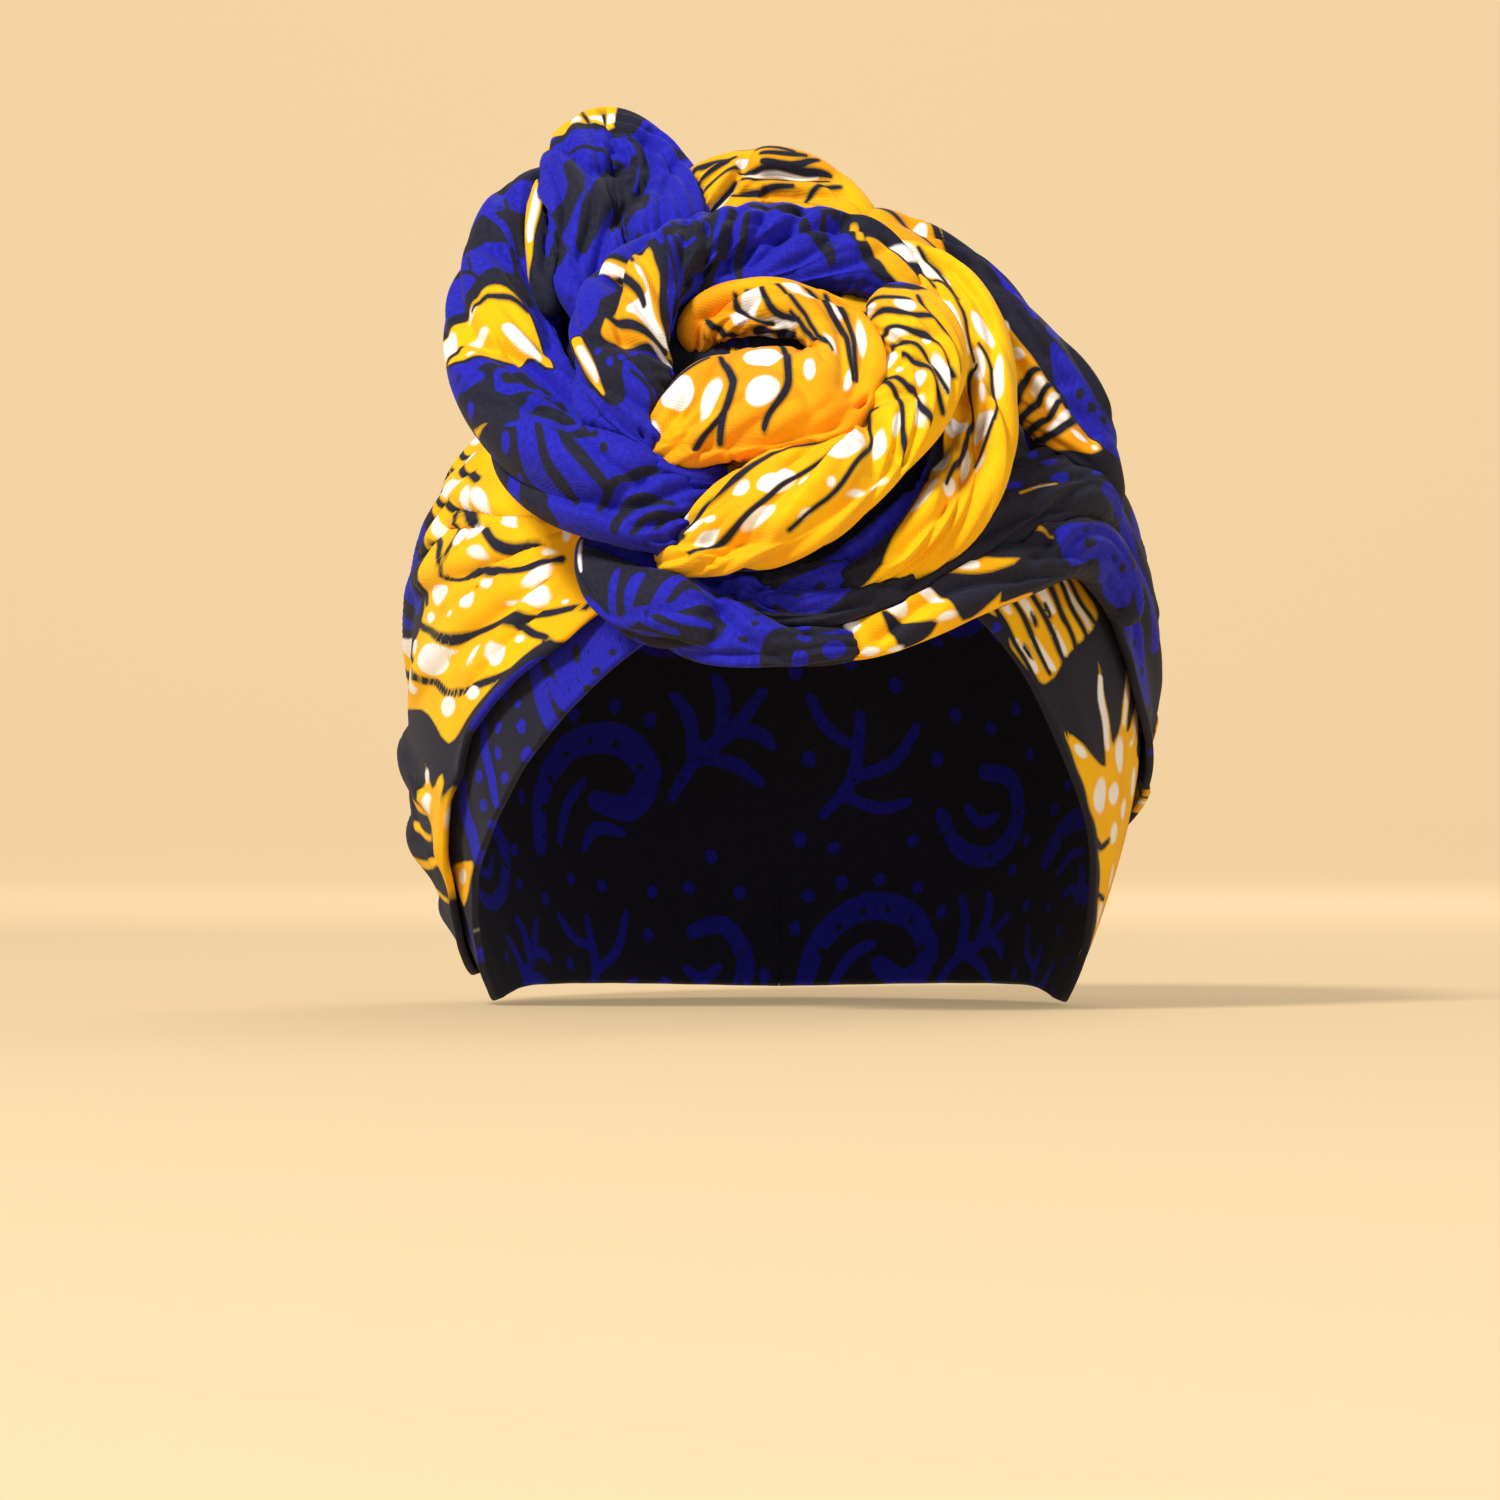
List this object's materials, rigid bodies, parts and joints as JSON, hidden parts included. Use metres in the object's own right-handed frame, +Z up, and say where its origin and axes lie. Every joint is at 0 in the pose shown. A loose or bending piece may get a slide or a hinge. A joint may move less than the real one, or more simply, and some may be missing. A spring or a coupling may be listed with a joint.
{
  "type": "turban head wrap",
  "caption": "Fitted cap with a wide printed cloth wound over it, whose twisted tails are coiled into a rosette above the brow.",
  "frame": {"origin": "the inside of the crown, where the wrap sits on top of the head", "axes": "+Z up, +Y towards the back of the head and +X to the right of the front view, which is the wearer's left"},
  "size_m": [0.18, 0.2498, 0.2124],
  "materials": {
    "night_cloth": "plain woven cotton, printed, blue-black ground",
    "blue_cloth": "plain woven cotton, printed, royal blue",
    "gold_cloth": "plain woven cotton, printed, golden yellow with white spots"
  },
  "bodies": {
    "root": {"cap": "night_cloth", "outer_wrap": "gold_cloth", "crossing_knot": "blue_cloth", "brow_roll_left": "blue_cloth", "brow_roll_right": "gold_cloth", "brow_band": "night_cloth", "coil_left": "blue_cloth", "coil_front": "gold_cloth", "coil_centre": "gold_cloth", "coil_upper": "blue_cloth", "coil_right": "gold_cloth", "coil_outer": "night_cloth", "top_fold": "gold_cloth", "knot_loop": "blue_cloth", "knot_tail": "gold_cloth"}
  },
  "joints": []
}
